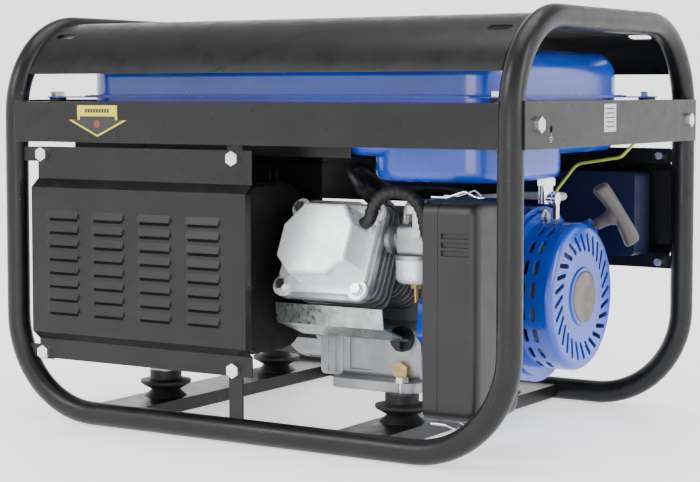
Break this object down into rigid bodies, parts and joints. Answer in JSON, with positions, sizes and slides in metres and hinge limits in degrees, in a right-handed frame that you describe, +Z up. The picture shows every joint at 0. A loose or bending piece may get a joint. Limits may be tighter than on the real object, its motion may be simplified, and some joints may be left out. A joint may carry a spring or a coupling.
{
  "type": "portable generator",
  "caption": "Portable petrol generator: engine, alternator, tank, air cleaner, muffler and control panel carried in an open tubular frame with a pull starter.",
  "frame": {"origin": "on the ground, midway between the two frame loops and the two end rails", "axes": "+X along the generator towards the pull starter, +Y from the muffler-guard side to the control-panel side, +Z up"},
  "size_m": [0.6202, 0.4402, 0.425],
  "materials": {
    "black_paint": "black satin powder coat",
    "blue_paint": "bright blue gloss enamel",
    "shroud_paint": "blue gloss enamel",
    "zinc_steel": "bright zinc plate",
    "galvanised": "dull galvanised sheet",
    "rubber_black": "matt black rubber",
    "pale_hose": "translucent pale hose",
    "black_plastic": "fine-grained black plastic",
    "grey_lid": "grey plastic",
    "red_plastic": "red button plastic",
    "chrome_metal": "bright chrome",
    "cast_aluminium": "as-cast aluminium, grey",
    "silver_cover": "pale silver",
    "brass": "bright brass",
    "steel": "machined steel",
    "iron": "dark iron",
    "muffler_steel": "heat-dulled dark steel",
    "handle_plastic": "warm grey plastic",
    "cord_black": "braided cord",
    "pulley_plastic": "pale nylon",
    "earth_wire": "yellow-green insulation",
    "foam": "open foam"
  },
  "bodies": {
    "chassis": {"air_cleaner_base": "black_plastic", "alternator_brackets": "cast_aluminium", "alternator_stator": "iron", "breather_hose": "rubber_black", "carburettor_body": "cast_aluminium", "connecting_rod": "steel", "control_box": "black_plastic", "control_panel": "black_paint", "crankcase": "cast_aluminium", "crankcase_cover": "cast_aluminium", "cross_members": "black_paint", "cylinder_barrel": "cast_aluminium", "cylinder_head": "cast_aluminium", "deflector_plate": "galvanised", "drain_screws": "brass", "earth_lead": "earth_wire", "end_rails": "black_paint", "engine_bolts": "zinc_steel", "fan_shroud": "shroud_paint", "filter_element": "foam", "float_bowl": "silver_cover", "frame_bolts": "zinc_steel", "frame_brackets": "black_paint", "frame_tube_back": "black_paint", "frame_tube_front": "black_paint", "fuel_hose": "pale_hose", "ignition_coil": "black_plastic", "intake_duct": "black_plastic", "muffler_body": "muffler_steel", "muffler_guard": "black_paint", "petcock_body": "chrome_metal", "piston": "cast_aluminium", "recoil_housing": "blue_paint", "roof_panel": "black_paint", "rubber_mounts": "rubber_black", "side_rails": "black_paint", "socket_bodies": "black_plastic", "spark_plug": "zinc_steel", "spark_plug_lead": "rubber_black", "tank_lower_shell": "blue_paint", "tank_upper_shell": "blue_paint", "valve_cover": "silver_cover"},
    "crank": {"crankshaft": "steel", "flywheel": "iron", "alternator_rotor": "iron"},
    "starter_handle": {"recoil_handle": "handle_plastic", "recoil_rope": "cord_black"},
    "pulley": {"recoil_pulley": "pulley_plastic"},
    "cap": {"fuel_cap": "black_plastic"},
    "fuel_tap": {"petcock_lever": "chrome_metal"},
    "choke": {"choke_lever": "steel"},
    "governor": {"governor_arm": "steel"},
    "dipstick": {"oil_dipstick": "black_plastic"},
    "filter_cover": {"air_cleaner_cover": "black_plastic"},
    "clip_top": {"air_cleaner_clip_top": "chrome_metal"},
    "clip_bottom": {"air_cleaner_clip_bottom": "chrome_metal"},
    "breaker": {"breaker_button": "red_plastic"},
    "switch": {"engine_switch": "black_plastic"},
    "lid_left": {"socket_lid_left": "grey_lid"},
    "lid_right": {"socket_lid_right": "grey_lid"}
  },
  "joints": [
    {"name": "crank_spin", "type": "hinge", "parent": "chassis", "child": "crank", "pos_m": [0, 0.035, 0.137], "axis": [1, 0, 0], "continuous": true},
    {"name": "handle_pull", "type": "slide", "parent": "chassis", "child": "starter_handle", "axis": [0.8818, 0.1002, 0.4609], "range_m": [0, 0.45], "stiffness_N_per_m": 25, "springref_m": -0.25},
    {"name": "pulley_spin", "type": "hinge", "parent": "chassis", "child": "pulley", "pos_m": [0.22, 0.035, 0.137], "axis": [1, 0, 0], "range_deg": [0, 600]},
    {"name": "cap_turn", "type": "hinge", "parent": "chassis", "child": "cap", "pos_m": [0.06, 0, 0.4], "axis": [0, 0, 1], "range_deg": [0, 90]},
    {"name": "fuel_tap_turn", "type": "hinge", "parent": "chassis", "child": "fuel_tap", "pos_m": [0.232, -0.01, 0.238], "axis": [1, 0, 0], "range_deg": [0, 90]},
    {"name": "choke_turn", "type": "hinge", "parent": "chassis", "child": "choke", "pos_m": [0.144, -0.11232, 0.2067], "axis": [0, -1, 0], "range_deg": [0, 50]},
    {"name": "governor_swing", "type": "hinge", "parent": "chassis", "child": "governor", "pos_m": [0.142, -0.09532, 0.2137], "axis": [0, 0, 1], "range_deg": [-15, 15], "stiffness_Nm_per_rad": 0.01},
    {"name": "dipstick_turn", "type": "hinge", "parent": "chassis", "child": "dipstick", "pos_m": [0.112, -0.0843, 0.098], "axis": [0, -1, 0], "range_deg": [0, 90]},
    {"name": "cover_off", "type": "slide", "parent": "chassis", "child": "filter_cover", "axis": [1, 0, 0], "range_m": [0, 0.12]},
    {"name": "clip_top_swing", "type": "hinge", "parent": "chassis", "child": "clip_top", "pos_m": [0.194, -0.16, 0.246], "axis": [0, -1, 0], "range_deg": [0, 6]},
    {"name": "clip_bottom_swing", "type": "hinge", "parent": "chassis", "child": "clip_bottom", "pos_m": [0.194, -0.16, 0.034], "axis": [0, 1, 0], "range_deg": [0, 25]},
    {"name": "breaker_push", "type": "slide", "parent": "chassis", "child": "breaker", "axis": [0, -1, 0], "range_m": [0, 0.0025], "stiffness_N_per_m": 400},
    {"name": "switch_rock", "type": "hinge", "parent": "chassis", "child": "switch", "pos_m": [0.226, 0.2125, 0.2], "axis": [1, 0, 0], "range_deg": [-8, 8]},
    {"name": "lid_left_open", "type": "hinge", "parent": "chassis", "child": "lid_left", "pos_m": [0.095, 0.21945, 0.2354], "axis": [1, 0, 0], "range_deg": [0, 110], "stiffness_Nm_per_rad": 0.01, "springref_deg": -28.65},
    {"name": "lid_right_open", "type": "hinge", "parent": "chassis", "child": "lid_right", "pos_m": [0.165, 0.21945, 0.2354], "axis": [1, 0, 0], "range_deg": [0, 110], "stiffness_Nm_per_rad": 0.01, "springref_deg": -28.65}
  ],
  "couplings": [
    {"joint": "pulley_spin", "follows": "handle_pull", "rad_per_m": 20.83}
  ]
}
